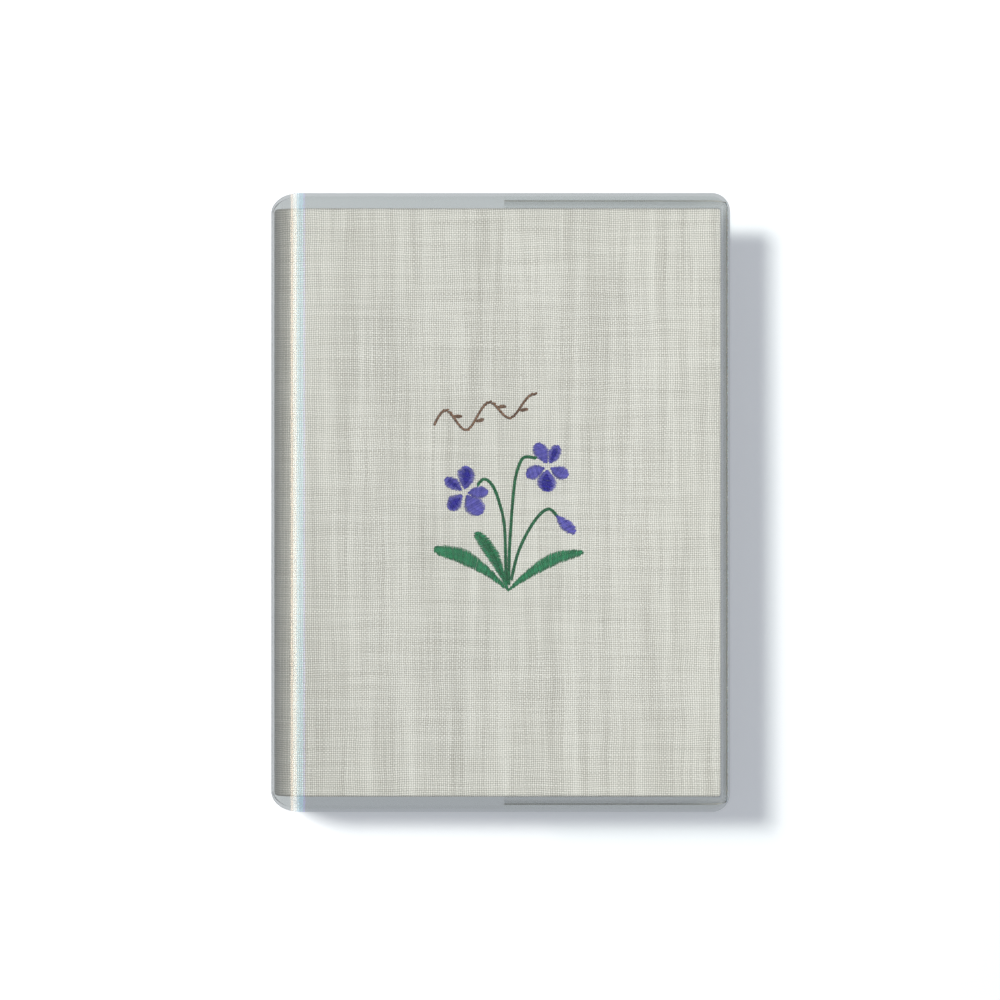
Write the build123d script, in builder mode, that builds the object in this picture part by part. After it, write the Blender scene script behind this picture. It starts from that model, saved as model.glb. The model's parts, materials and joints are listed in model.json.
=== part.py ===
from build123d import *
from math import asin, cos, degrees, pi, radians, sin
import os

# A needle case in the form of a small book. Two stiff boards and a half-round spine are
# covered in linen with an embroidered sprig on the front, and slipped into a clear vinyl
# jacket. Inside, three sheets of felt are folded, nested and sewn through the fold to make
# six leaves, and needles are kept in the middle pair.
#
# Frame: the closed case lies on its back. +X runs from the spine to the fore edge, +Y to the
# head, +Z to the front cover. The origin is the centre of the closed case's underside.

# ---- Driving sizes, in millimetres ----

case_width = 110.0  # outside of the jacket, spine to fore edge
case_height = 148.0  # outside of the jacket, tail to head
case_thickness = 18.0  # outside of the jacket, back to front

jacket_sheet = 0.3  # clear vinyl
jacket_slack = 0.45  # between the jacket and the linen, with room for the embroidery
head_border = 3.6  # clear vinyl past the linen at head and tail
fore_border = 2.2  # clear vinyl past the linen at the fore edge
fore_corner = 4.3  # corner radius of the jacket at the fore edge
spine_corner = 6.0  # corner radius of the jacket at the spine
weld_width = 1.7  # fused strip round a pocket, at head and tail
fore_weld_width = 1.1  # the same along the fore edge
flap_width = 54.0  # pocket flap, from the fore edge of the jacket
flap_slack = 0.1  # between a flap and the lining behind it
pocket_slack = 0.2  # between a pocket's side and the linen's edge

linen = 0.4
board_thickness = 1.8
spine_card_thickness = 0.8
board_joint = 0.2  # between a board and the spine card
board_corner = 0.8
turn_in = 12.0  # linen folded over to the inside
lining_sheet = 0.3
lining_margin = 3.0  # linen left showing round the lining
lining_slack = 0.1  # round the lining's raised middle

fold_gap = 0.3  # between the two halves of the case along the middle of the spine

leaf_gap = 0.25  # between neighbouring leaves, and between the leaves and the flaps
leaf_head_margin = 5.4  # from the leaves' head and tail to the linen's
leaf_fore_margin = 6.0  # from the leaves' fore edge to the jacket's
leaf_droop = 7.0  # degrees that a leaf hangs below level on the opened case
tooth_pitch = 4.0  # pinked edge
tooth_depth = 1.6
root_gap = 0.3  # between a leaf's rounded root and the fold it grows from
folio_count = 3

tape_thickness = 0.35
tape_half_angle = 45.0
tape_end_gap = 2.4  # from the end of the tape to the linen that is folded in
tape_slack = 0.1

thread_diameter = 0.6
thread_hole_slack = 0.1
thread_end_margin = 8.0  # from the last stitch to the end of the tape
stitch_count = 4

sharp_diameter = 0.7
darner_diameter = 0.9
needle_rise = 0.1  # how far a needle's axis lies under the felt's face
needle_clearance = 0.6  # between the needles on the two facing leaves
needle_groove_slack = 0.02
needle_eye_width = 0.28
needle_spacing = 7.0

embroidery = 0.35  # height of the stitches above the linen
stem_width = 0.78
sprig_base = (2.0, -21.0)
heart_size = 0.7  # from the middle of a flower to its petals
scroll_start = (-15.8, 18.4)
scroll_run = 23.6
scroll_rise = 5.4
scroll_swing = 3.0
scroll_fade = 0.35  # share of the swing that is lost along the scroll
scroll_waves = 2.25
scroll_points = 28

# ---- Sizes that follow ----

spine_radius = case_thickness / 2
mid = case_thickness / 2
spine_x = -case_width / 2 + spine_radius  # axis of the round spine
fore_x = case_width / 2

# Distances out from the middle plane, from the jacket inwards
jacket_out = spine_radius
jacket_in = jacket_out - jacket_sheet
linen_out = jacket_in - jacket_slack
board_out = linen_out - linen
board_in = board_out - board_thickness
turn_in_face = board_in - linen
lining_face = turn_in_face - lining_sheet
flap_out = lining_face - flap_slack
flap_in = flap_out - jacket_sheet
leaves_out = flap_in - leaf_gap

card_in = board_out - spine_card_thickness
card_turn_in_face = card_in - linen

linen_fore = fore_x - fore_border
linen_half_height = case_height / 2 - head_border
board_fore = linen_fore - linen
board_half_height = linen_half_height - linen
board_spine_edge = spine_x + 2 * board_joint
card_edge = spine_x + board_joint

hinge_x = -case_width / 2 - fold_gap / 2

# The felt fills the room that the gaps leave
leaf_fore = fore_x - leaf_fore_margin
leaf_height = 2 * (linen_half_height - leaf_head_margin)
middle_face = (sharp_diameter + darner_diameter) / 4 - needle_rise + needle_clearance / 2
felt = (leaves_out - middle_face - (folio_count - 1) * leaf_gap) / folio_count
leaf_pitch = felt + leaf_gap
# The folds are stepped so that the leaves keep their gap when they hang on the opened case
leg_pitch = leaf_pitch * (1 + sin(radians(leaf_droop))) / cos(radians(leaf_droop))
tape_half_height = linen_half_height - turn_in - tape_end_gap
tape_out = card_in - tape_slack
tape_in = tape_out - tape_thickness
fold_x = spine_x - min(tape_in, card_turn_in_face) + tape_slack + leaves_out

# One plane for each half of the case: local x is X, local y is the distance out from the middle
half_section = {
    "back": Plane(origin=(0, 0, mid), x_dir=(1, 0, 0), z_dir=(0, 1, 0)),
    "front": Plane(origin=(0, 0, mid), x_dir=(1, 0, 0), z_dir=(0, -1, 0)),
}
outward = {"back": -1, "front": 1}


def level(side, out):
    """The plane parallel to the covers, at a distance out from the middle, facing out."""
    return Plane(origin=(0, 0, mid + outward[side] * out), x_dir=(1, 0, 0), z_dir=(0, 0, outward[side]))


def save(part, name):
    part.label = name
    export_step(part, f"parts/{name}.step")


def skin_face(outer, inner, end_x):
    """Section of a skin that lies flat from end_x to the spine and then turns round it."""
    with BuildLine() as outline:
        over = Line((end_x, outer), (spine_x, outer))
        round_out = CenterArc((spine_x, 0), outer, 90, 90 - degrees(asin(fold_gap / 2 / outer)))
        round_in = CenterArc((spine_x, 0), inner, 90, 90 - degrees(asin(fold_gap / 2 / inner)))
        under = Line((end_x, inner), (spine_x, inner))
        Line(round_out @ 1, round_in @ 1)
        Line(over @ 0, under @ 0)
    make_face(outline.edges())


def area(x_low, x_high, y_low, y_high, mode=Mode.ADD):
    """A rectangle given by its edges."""
    with Locations(((x_low + x_high) / 2, (y_low + y_high) / 2)):
        Rectangle(x_high - x_low, y_high - y_low, mode=mode)


os.makedirs("parts", exist_ok=True)

# ---- The two halves of the case ----

for side in ("back", "front"):
    section = half_section[side]

    with BuildPart() as board:
        with BuildSketch(level(side, board_in)):
            area(board_spine_edge, board_fore, -board_half_height, board_half_height)
        extrude(amount=board_thickness)
        fillet(board.edges().filter_by(Axis.Z), board_corner)
    save(board.part, f"{side}_board")

    with BuildPart() as spine_card:
        with BuildSketch(section):
            skin_face(board_out, card_in, card_edge)
        extrude(amount=board_half_height, both=True)
    save(spine_card.part, f"{side}_spine_card")

    # Linen: a wrapper round board and card, open over the middle of the inside
    with BuildPart() as linen_cover:
        with BuildSketch(section):
            skin_face(linen_out, card_turn_in_face, linen_fore)
            area(spine_x, linen_fore, turn_in_face, linen_out)
        extrude(amount=linen_half_height, both=True)
        with BuildSketch(section):
            skin_face(board_out, card_in, board_fore)
            area(board_spine_edge, board_fore, board_in, board_out)
        extrude(amount=board_half_height, both=True, mode=Mode.SUBTRACT)
        with BuildSketch(section):
            with Locations((spine_x, 0)):
                Circle(card_in)
            area(spine_x, board_spine_edge, 0, card_in)
            area(spine_x, linen_fore - turn_in, 0, board_in)
        extrude(amount=linen_half_height - turn_in, both=True, mode=Mode.SUBTRACT)
    save(linen_cover.part, f"{side}_linen")

    lining_spine_edge = board_spine_edge + 2 * lining_sheet
    lining_fore = linen_fore - lining_margin
    lining_half_height = linen_half_height - lining_margin
    pad_fore = linen_fore - turn_in - lining_slack
    pad_half_height = linen_half_height - turn_in - lining_slack
    with BuildPart() as lining:
        with BuildSketch(level(side, lining_face)):
            area(lining_spine_edge, lining_fore, -lining_half_height, lining_half_height)
        extrude(amount=lining_sheet)
        with BuildSketch(level(side, turn_in_face)):
            area(lining_spine_edge, pad_fore, -pad_half_height, pad_half_height)
        extrude(amount=linen)
    save(lining.part, f"{side}_lining")

    with BuildPart() as jacket:
        with BuildSketch(section):
            skin_face(jacket_out, jacket_in, fore_x)
        extrude(amount=case_height / 2, both=True)
        with BuildSketch(Plane.XY) as jacket_plan:
            Rectangle(case_width, case_height)
            fillet(jacket_plan.vertices().group_by(Axis.X)[-1], fore_corner)
            fillet(jacket_plan.vertices().group_by(Axis.X)[0], spine_corner)
        extrude(amount=case_thickness, mode=Mode.INTERSECT)
    save(jacket.part, f"{side}_jacket")

    # Flap: a shallow tray welded to the jacket on three sides, which the cover slips into
    flap_edge = fore_x - flap_width
    pocket_fore = linen_fore + pocket_slack
    pocket_half_height = linen_half_height + pocket_slack
    weld_fore = fore_x - fore_weld_width
    weld_half_height = case_height / 2 - weld_width
    with BuildPart() as flap:
        with BuildSketch(level(side, flap_in)):
            area(
                flap_edge,
                pocket_fore + jacket_sheet,
                -pocket_half_height - jacket_sheet,
                pocket_half_height + jacket_sheet,
            )
        with BuildSketch(level(side, jacket_in)):
            area(flap_edge, weld_fore, -weld_half_height, weld_half_height)
        loft()
        with BuildSketch(level(side, jacket_in - jacket_sheet)) as weld_strip:
            Rectangle(case_width, case_height)
            fillet(weld_strip.vertices().group_by(Axis.X)[-1], fore_corner)
            area(flap_edge, fore_x, -case_height / 2, case_height / 2, mode=Mode.INTERSECT)
        extrude(amount=jacket_sheet)
        with BuildSketch(level(side, flap_out)):
            area(flap_edge - 1, pocket_fore, -pocket_half_height, pocket_half_height)
        with BuildSketch(level(side, jacket_in)):
            area(
                flap_edge - 1,
                weld_fore - jacket_sheet,
                -weld_half_height + jacket_sheet,
                weld_half_height - jacket_sheet,
            )
        loft(mode=Mode.SUBTRACT)
    save(flap.part, f"{side}_jacket_flap")

# ---- Felt: folds that are sewn to the spine, and the leaves that turn on them ----

last_stitch = tape_half_height - thread_end_margin
stitch_ys = [last_stitch * (2 * n / stitch_count - 1) for n in range(stitch_count + 1)]
hole_radius = thread_diameter / 2 + thread_hole_slack
middle_section = Plane(origin=(0, 0, mid), x_dir=(1, 0, 0), z_dir=(0, -1, 0))
across = Plane(origin=(0, 0, mid), x_dir=(0, 1, 0), z_dir=(-1, 0, 0))

folio_offsets = [leaves_out - felt / 2 - n * leaf_pitch for n in range(folio_count)]
folio_legs = [n * leg_pitch for n in range(folio_count)]
root_xs = [fold_x + leg + root_gap + felt / 2 for leg in folio_legs]

for number, (offset, leg) in enumerate(zip(folio_offsets, folio_legs), start=1):
    outer = offset + felt / 2
    inner = offset - felt / 2
    with BuildPart() as felt_fold:
        with BuildSketch(middle_section):
            with Locations((fold_x, 0)):
                Circle(outer)
            area(fold_x, fold_x + outer, -outer, outer, mode=Mode.SUBTRACT)
            if leg:
                area(fold_x, fold_x + leg, -outer, outer)
                area(fold_x, fold_x + leg, -inner, inner, mode=Mode.SUBTRACT)
            with Locations((fold_x, 0)):
                Circle(inner, mode=Mode.SUBTRACT)
        extrude(amount=leaf_height / 2, both=True)
        with BuildSketch(across.offset(-fold_x)):
            with Locations([(y, 0) for y in stitch_ys]):
                Circle(hole_radius)
        extrude(amount=2 * spine_radius, mode=Mode.SUBTRACT)
    save(felt_fold.part, f"felt_fold_{number}")

with BuildPart() as tape:
    with BuildSketch(middle_section):
        with BuildLine():
            tape_start = 180 - tape_half_angle
            far = CenterArc((spine_x, 0), tape_out, tape_start, 2 * tape_half_angle)
            near = CenterArc((spine_x, 0), tape_in, tape_start, 2 * tape_half_angle)
            Line(far @ 0, near @ 0)
            Line(far @ 1, near @ 1)
        make_face()
    extrude(amount=tape_half_height, both=True)
    with BuildSketch(across.offset(-spine_x)):
        with Locations([(y, 0) for y in stitch_ys]):
            Circle(hole_radius)
    extrude(amount=2 * spine_radius, mode=Mode.SUBTRACT)
save(tape.part, "spine_tape")

# Thread: lies in the innermost fold, and goes through all three folds and the tape
gutter_x = fold_x - middle_face + thread_diameter / 2
with BuildPart() as thread:
    with BuildSketch(Plane.XZ):
        with Locations((gutter_x, mid)):
            Circle(thread_diameter / 2)
    extrude(amount=last_stitch, both=True)
    with BuildSketch(across.offset(-gutter_x)):
        with Locations([(y, 0) for y in stitch_ys]):
            Circle(thread_diameter / 2)
    extrude(amount=gutter_x - (spine_x - tape_out))
save(thread.part, "binding_thread")


def pinked_outline(root_x):
    """Plan of a leaf: a straight bound edge, and teeth along tail, fore edge and head."""
    half = leaf_height / 2
    teeth_long = round((leaf_fore - root_x) / tooth_pitch)
    teeth_high = round(leaf_height / tooth_pitch)
    step_x = (leaf_fore - root_x) / teeth_long
    step_y = leaf_height / teeth_high
    points = [(root_x, -half)]
    for n in range(teeth_long):
        points.append((root_x + (n + 0.5) * step_x, -half + tooth_depth))
        points.append((root_x + (n + 1) * step_x, -half))
    for n in range(teeth_high):
        points.append((leaf_fore - tooth_depth, -half + (n + 0.5) * step_y))
        points.append((leaf_fore, -half + (n + 1) * step_y))
    for n in range(teeth_long):
        points.append((leaf_fore - (n + 0.5) * step_x, half - tooth_depth))
        points.append((leaf_fore - (n + 1) * step_x, half))
    return points


# ---- Needles: x along the leaf, length, diameter; each lies along Y ----

sharps = [(-15.0 + n * needle_spacing, 34.0 + 2.5 * n, sharp_diameter) for n in range(7)]
darners = [(-8.0 + n * 1.6 * needle_spacing, 48.0 + 4.0 * n, darner_diameter) for n in range(4)]
needle_tail_y = {"back": -20.0, "front": -24.0}
needles = {"back": sharps, "front": darners}


def needle_place(side, x):
    """Plane across a needle at its point, with z along the needle towards its eye."""
    z = mid + outward[side] * (middle_face + needle_rise)
    return Plane(origin=(x, needle_tail_y[side], z), x_dir=(1, 0, 0), z_dir=(0, 1, 0))


leaf_number = 0
for side, folios in (("front", range(folio_count)), ("back", reversed(range(folio_count)))):
    for folio in folios:
        leaf_number += 1
        offset = folio_offsets[folio]
        root_x = root_xs[folio]
        with BuildPart() as leaf:
            with BuildSketch(level(side, offset - felt / 2)):
                with BuildLine():
                    Polyline(*pinked_outline(root_x), close=True)
                make_face()
            extrude(amount=felt)
            with BuildSketch(half_section[side]):
                with Locations((root_x, offset)):
                    Circle(felt / 2)
            extrude(amount=leaf_height / 2, both=True)
            if folio == folio_count - 1:
                for x, length, diameter in needles[side]:
                    with BuildSketch(needle_place(side, x)):
                        Circle(diameter / 2 + needle_groove_slack)
                    extrude(amount=length, mode=Mode.SUBTRACT)
        save(leaf.part, f"leaf_{leaf_number}")

for side, name in (("back", "sharps_needles"), ("front", "darning_needles")):
    pieces = []
    for x, length, diameter in needles[side]:
        radius = diameter / 2
        place = needle_place(side, x)
        point_length = 8 * diameter
        eye_length = 3 * diameter
        with BuildPart() as needle:
            with BuildSketch(Plane(origin=place.origin, x_dir=(1, 0, 0), z_dir=(0, 0, -1))):
                with BuildLine():
                    Polyline((0, -length), (radius / 2, -length), (radius, -length + radius))
                    Polyline((radius, -length + radius), (radius, -point_length), (0, 0))
                    Line((0, 0), (0, -length))
                make_face()
            revolve(axis=Axis(place.origin, (0, 1, 0)))
            eye_plane = Plane(origin=place.origin, x_dir=(0, 1, 0), z_dir=(0, 0, 1))
            with BuildSketch(eye_plane):
                with Locations((length - radius - eye_length, 0)):
                    SlotOverall(eye_length, needle_eye_width)
            extrude(amount=diameter, both=True, mode=Mode.SUBTRACT)
        pieces.append(needle.part)
    save(Compound(children=pieces), name)

# ---- Embroidery on the front: flat patches of thread on the linen ----

thread_face = Plane.XY.offset(mid + linen_out)
base_x, base_y = sprig_base
sewn_patches = []


def sewn(name, draw):
    """A thin patch of stitches of the outline that draw() sketches, round the earlier ones."""
    with BuildPart() as patch:
        with BuildSketch(thread_face):
            draw()
        extrude(amount=embroidery)
        for earlier in sewn_patches:
            add(earlier, mode=Mode.SUBTRACT)
    sewn_patches.append(patch.part)
    save(patch.part, name)


def petal(flower, angle, length, width, start=heart_size):
    """An oval petal that grows out of the flower's heart at an angle."""
    reach = start + length / 2
    place = (flower[0] + reach * cos(radians(angle)), flower[1] + reach * sin(radians(angle)))
    with Locations(Location(place, angle)):
        Ellipse(length / 2, width / 2)


def petal_centre(flower, angle, length, width, share):
    """The darker middle of such a petal, larger for a larger share of it."""
    inner_length = length * (0.55 + 0.25 * share)
    inner_width = width * (0.4 + 0.35 * share)
    petal(flower, angle, inner_length, inner_width, heart_size + length / 6)


def blade(tip, bow, width):
    """A leaf of the sprig, from the base to its tip, bowed to one side."""
    along = Vector(tip[0] - base_x, tip[1] - base_y)
    normal = Vector(-along.Y, along.X).normalized()
    middle = Vector(base_x, base_y) + along / 2
    upper = middle + normal * (bow + width / 2)
    lower = middle + normal * (bow - width / 2)
    with BuildLine() as outline:
        ThreePointArc((base_x, base_y), (upper.X, upper.Y), tip)
        ThreePointArc((base_x, base_y), (lower.X, lower.Y), tip)
    make_face(outline.edges())


def stem(*points):
    with BuildLine() as path:
        Spline(*points)
    trace(path.line, line_width=stem_width)


left_flower = (-8.5, 2.4)
right_flower = (11.4, 8.6)
bud = (13.4, -2.9)


def violet_petals():
    petal(left_flower, 84, 5.8, 4.3)
    petal(left_flower, 143, 5.1, 3.0)
    petal(left_flower, 0, 5.1, 3.2)
    petal(left_flower, 226, 4.9, 3.7)
    petal(left_flower, 306, 6.0, 4.8)
    petal(right_flower, 114, 5.6, 3.8)
    petal(right_flower, 62, 5.1, 3.1)
    petal(right_flower, 202, 5.0, 3.5)
    petal(right_flower, 334, 4.8, 3.4)
    petal(right_flower, 266, 5.4, 4.9)
    petal(bud, -46, 6.5, 2.9, 0)


def indigo_centres():
    petal_centre(left_flower, 84, 5.8, 4.3, 0.75)
    petal_centre(left_flower, 143, 5.1, 3.0, 0.6)
    petal_centre(left_flower, 226, 4.9, 3.7, 0.85)
    petal_centre(right_flower, 62, 5.1, 3.1, 0.6)
    petal_centre(right_flower, 266, 5.4, 4.9, 1.0)


def green_leaves():
    blade((-15.9, -11.3), -1.8, 3.7)
    blade((20.1, -11.9), 1.8, 3.7)
    blade((-5.7, -6.9), -0.6, 3.3)


def left_stem():
    stem((1.4, -19.5), (1.1, -6.2), (-0.3, 0.4), (-1.9, 4.2), (-3.8, 5.6), (-5.4, 4.2))


def middle_stem():
    stem((2.1, -19.5), (2.3, -10.5), (3.3, 3.0), (4.3, 8.2), (5.8, 10.8), (8.6, 10.6))


def right_stem():
    stem((2.7, -18.4), (4.4, -11.8), (7.1, -6.2), (9.8, -2.6), (11.9, -1.6), (13.6, -3.2))


def scroll():
    start_x, start_y = scroll_start
    points = []
    for n in range(scroll_points):
        t = n / (scroll_points - 1)
        swing = scroll_swing * (1 - scroll_fade * t) * sin(2 * pi * scroll_waves * t)
        points.append((start_x + scroll_run * t, start_y + scroll_rise * t + swing))
    stem(*points)


sewn("indigo_stitches", indigo_centres)
sewn("violet_stitches", violet_petals)
sewn("leaf_stitches", green_leaves)
sewn("left_stem_stitches", left_stem)
sewn("middle_stem_stitches", middle_stem)
sewn("right_stem_stitches", right_stem)
sewn("scroll_stitches", scroll)
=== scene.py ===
import json
import math
import random

import bmesh
import bpy
from mathutils import Matrix, Vector, noise
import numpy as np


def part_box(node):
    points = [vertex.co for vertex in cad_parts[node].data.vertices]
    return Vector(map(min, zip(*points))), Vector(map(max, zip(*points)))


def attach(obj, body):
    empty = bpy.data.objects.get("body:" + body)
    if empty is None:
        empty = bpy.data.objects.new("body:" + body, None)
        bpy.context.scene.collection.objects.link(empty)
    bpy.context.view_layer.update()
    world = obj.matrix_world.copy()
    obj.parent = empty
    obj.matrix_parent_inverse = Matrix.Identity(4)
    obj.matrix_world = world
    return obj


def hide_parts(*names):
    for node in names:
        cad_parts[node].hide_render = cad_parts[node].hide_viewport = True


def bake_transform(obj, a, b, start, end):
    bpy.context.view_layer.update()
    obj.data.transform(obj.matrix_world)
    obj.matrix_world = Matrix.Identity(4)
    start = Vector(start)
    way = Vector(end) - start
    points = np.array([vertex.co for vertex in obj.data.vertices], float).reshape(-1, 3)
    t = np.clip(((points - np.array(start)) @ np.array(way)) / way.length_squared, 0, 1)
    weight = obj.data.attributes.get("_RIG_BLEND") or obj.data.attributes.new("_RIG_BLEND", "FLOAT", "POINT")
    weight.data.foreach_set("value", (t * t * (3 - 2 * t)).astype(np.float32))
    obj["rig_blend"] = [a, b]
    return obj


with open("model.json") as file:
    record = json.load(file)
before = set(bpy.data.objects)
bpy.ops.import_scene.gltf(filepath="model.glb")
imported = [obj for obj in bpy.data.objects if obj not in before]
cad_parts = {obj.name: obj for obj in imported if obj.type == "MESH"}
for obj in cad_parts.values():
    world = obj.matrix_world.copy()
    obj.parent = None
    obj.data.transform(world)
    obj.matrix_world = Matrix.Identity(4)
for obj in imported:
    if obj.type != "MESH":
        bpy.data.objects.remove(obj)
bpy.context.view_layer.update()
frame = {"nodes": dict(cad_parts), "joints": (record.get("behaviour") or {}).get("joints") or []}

mm = 0.001
random.seed(7)

# Where things are, read from the CAD frame
jointNamed = {joint["name"]: joint for joint in frame["joints"]}
midZ = jointNamed["cover_hinge"]["pos_m"][2]
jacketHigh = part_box("front_jacket")[1]
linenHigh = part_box("front_linen")[1]
boardLow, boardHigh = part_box("front_board")
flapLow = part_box("front_jacket_flap")[0]
spineX = -jacketHigh.x + (jacketHigh.z - midZ)  # axis of the round spine
leaves = ["leaf_1", "leaf_2", "leaf_3", "leaf_4", "leaf_5", "leaf_6"]
leafBodies = [jointNamed[f"{leaf}_turn"]["child"] for leaf in leaves]


# ---------- small helpers

def addObject(name, bm, material=None, smooth=True):
    mesh = bpy.data.meshes.new(name)
    bm.to_mesh(mesh)
    bm.free()
    mesh.polygons.foreach_set("use_smooth", [smooth] * len(mesh.polygons))
    piece = bpy.data.objects.new(name, mesh)
    bpy.context.scene.collection.objects.link(piece)
    if material:
        mesh.materials.append(material)
    return piece


def applyModifiers(piece):
    graph = bpy.context.evaluated_depsgraph_get()
    graph.update()
    mesh = bpy.data.meshes.new_from_object(
        piece.evaluated_get(graph), preserve_all_data_layers=True, depsgraph=graph
    )
    piece.modifiers.clear()
    piece.data = mesh
    mesh.set_sharp_from_angle(angle=0.8)
    return piece


def thicken(piece, thickness, inward=True):
    # Gives a sheet its thickness, on the side that its normals point away from
    solid = piece.modifiers.new("thickness", "SOLIDIFY")
    solid.thickness = thickness
    solid.offset = -1 if inward else 0
    solid.use_even_offset = True
    return applyModifiers(piece)


def smoothStep(low, high, value):
    t = min(max((value - low) / (high - low), 0), 1)
    return t * t * (3 - 2 * t)


def between(stops, step):
    # Stations from stop to stop, no further apart than step
    stations = [stops[0]]
    for low, high in zip(stops, stops[1:]):
        count = max(1, math.ceil((high - low) / step - 1e-6))
        stations += [low + (high - low) * (n + 1) / count for n in range(count)]
    return stations


def shapedGrid(name, along, across, place, material=None):
    # A grid whose rows and columns go to the given stations and are then bent by place()
    bm = bmesh.new()
    uvLayer = bm.loops.layers.uv.new("cloth")
    bmesh.ops.create_grid(bm, x_segments=len(along) - 1, y_segments=len(across) - 1, size=1)
    for vert in bm.verts:
        s = along[round((vert.co.x + 1) / 2 * (len(along) - 1))]
        y = across[round((vert.co.y + 1) / 2 * (len(across) - 1))]
        vert.co = (s, y, 0)
    for face in bm.faces:
        for loop in face.loops:
            loop[uvLayer].uv = (loop.vert.co.x, loop.vert.co.y)
    for vert in bm.verts:
        vert.co = place(vert.co.x, vert.co.y)
    return addObject(name, bm, material)


# ---------- node helpers

def addNode(tree, kind, inputs=None, **settings):
    node = tree.nodes.new("ShaderNode" + kind)
    for key, value in settings.items():
        setattr(node, key, value)
    for key, value in (inputs or {}).items():
        if isinstance(value, bpy.types.NodeSocket):
            tree.links.new(value, node.inputs[key])
        else:
            node.inputs[key].default_value = value
    return node


def calc(tree, operation, first, second=0.0, third=0.0, clamp=False):
    inputs = {0: first, 1: second, 2: third}
    return addNode(tree, "Math", inputs, operation=operation, use_clamp=clamp).outputs[0]


def mixColours(tree, factor, first, second):
    node = addNode(tree, "Mix", data_type="RGBA", clamp_factor=True)
    for socket, value in zip((node.inputs[0], node.inputs[6], node.inputs[7]), (factor, first, second)):
        if isinstance(value, bpy.types.NodeSocket):
            tree.links.new(value, socket)
        else:
            socket.default_value = value
    return node.outputs[2]


def combine(tree, x, y, z):
    return addNode(tree, "CombineXYZ", {0: x, 1: y, 2: z}).outputs[0]


def noiseValue(tree, vector, scale, detail=2.0, roughness=0.5):
    inputs = {"Vector": vector, "Scale": scale, "Detail": detail, "Roughness": roughness}
    return addNode(tree, "TexNoise", inputs).outputs["Fac"]


def newGroup(name, inputs, outputs):
    group = bpy.data.node_groups.new(name, "ShaderNodeTree")
    for socketName, kind, default in inputs:
        socket = group.interface.new_socket(socketName, in_out="INPUT", socket_type=kind)
        if default is not None:
            socket.default_value = default
    for socketName, kind in outputs:
        group.interface.new_socket(socketName, in_out="OUTPUT", socket_type=kind)
    return group, group.nodes.new("NodeGroupInput"), group.nodes.new("NodeGroupOutput")


def useGroup(tree, group, inputs):
    node = addNode(tree, "Group")
    node.node_tree = group
    for key, value in inputs.items():
        if isinstance(value, bpy.types.NodeSocket):
            tree.links.new(value, node.inputs[key])
        else:
            node.inputs[key].default_value = value
    return node


def newMaterial(name, **sockets):
    material = bpy.data.materials.new(name)
    material.use_nodes = True
    tree = material.node_tree
    shader = tree.nodes["Principled BSDF"]
    for key, value in sockets.items():
        shader.inputs[key.replace("_", " ")].default_value = value
    return material, tree, shader


def bumpInto(tree, shader, height, distance, strength=1.0):
    bump = addNode(tree, "Bump", {"Height": height, "Distance": distance, "Strength": strength})
    tree.links.new(bump.outputs[0], shader.inputs["Normal"])


def objectPosition(tree):
    return addNode(tree, "TexCoord").outputs["Object"]


def clothPosition(tree):
    return addNode(tree, "UVMap", uv_map="cloth").outputs[0]


def rgb(red, green, blue):
    # A colour from its sRGB values, 0 to 255
    linear = [((c / 255 + 0.055) / 1.055) ** 2.4 if c > 10 else c / 255 / 12.92 for c in (red, green, blue)]
    return (*linear, 1.0)


# ---------- camera

cameraSet = {"height": 1.6, "frameWidth": 0.2391, "centre": (0.0, 0.0006)}


def setCamera():
    data = bpy.data.cameras.new("camera")
    data.sensor_width = 36
    data.lens = 36 * cameraSet["height"] / cameraSet["frameWidth"]
    data.clip_start = 0.01
    camera = bpy.data.objects.new("camera", data)
    camera.location = (*cameraSet["centre"], jacketHigh.z + cameraSet["height"])
    bpy.context.scene.collection.objects.link(camera)
    bpy.context.scene.camera = camera


setCamera()
print("camera set")

# ---------- shared effects

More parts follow.
